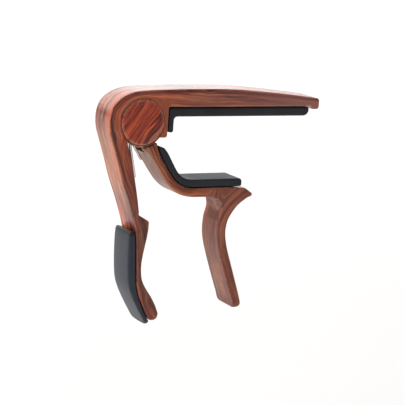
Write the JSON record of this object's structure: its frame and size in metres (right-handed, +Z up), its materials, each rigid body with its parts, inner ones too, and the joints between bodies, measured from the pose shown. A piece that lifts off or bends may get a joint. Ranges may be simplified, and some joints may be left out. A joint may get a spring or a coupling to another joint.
{
  "type": "guitar capo",
  "caption": "Spring-loaded trigger capo that clamps a padded bar across a guitar's strings and opens when its two handles are squeezed.",
  "frame": {"origin": "centre of the string pad's pressing face", "axes": "+Z up out of the strings, +X along the bar from the pivot to its tip, Y along the pivot's axis"},
  "size_m": [0.0828, 0.0132, 0.0842],
  "materials": {
    "frame_arm": "wood-grain film, satin",
    "lower_arm": "wood-grain film, satin",
    "string_pad": "matte silicone",
    "neck_pad": "matte silicone",
    "handle_grip": "soft matte",
    "pivot_pin": "ground",
    "spacer_sleeve": "turned",
    "torsion_spring": "bright wire",
    "pivot_cap_near": "wood-grain film, satin",
    "pivot_cap_far": "wood-grain film, satin"
  },
  "bodies": {
    "frame": {"frame_arm": "frame_arm", "string_pad": "string_pad", "handle_grip": "handle_grip", "pivot_pin": "pivot_pin", "spacer_sleeve": "spacer_sleeve", "pivot_cap_near": "pivot_cap_near", "pivot_cap_far": "pivot_cap_far", "torsion_spring": "torsion_spring"},
    "lower": {"lower_arm": "lower_arm", "neck_pad": "neck_pad"}
  },
  "joints": [
    {"name": "lower_arm_hinge", "type": "hinge", "parent": "frame", "child": "lower", "pos_m": [-0.03815, 0, -0.00175], "axis": [0, 1, 0], "range_deg": [-14, 20], "stiffness_Nm_per_rad": 1.2, "deforming": ["torsion_spring"]}
  ]
}
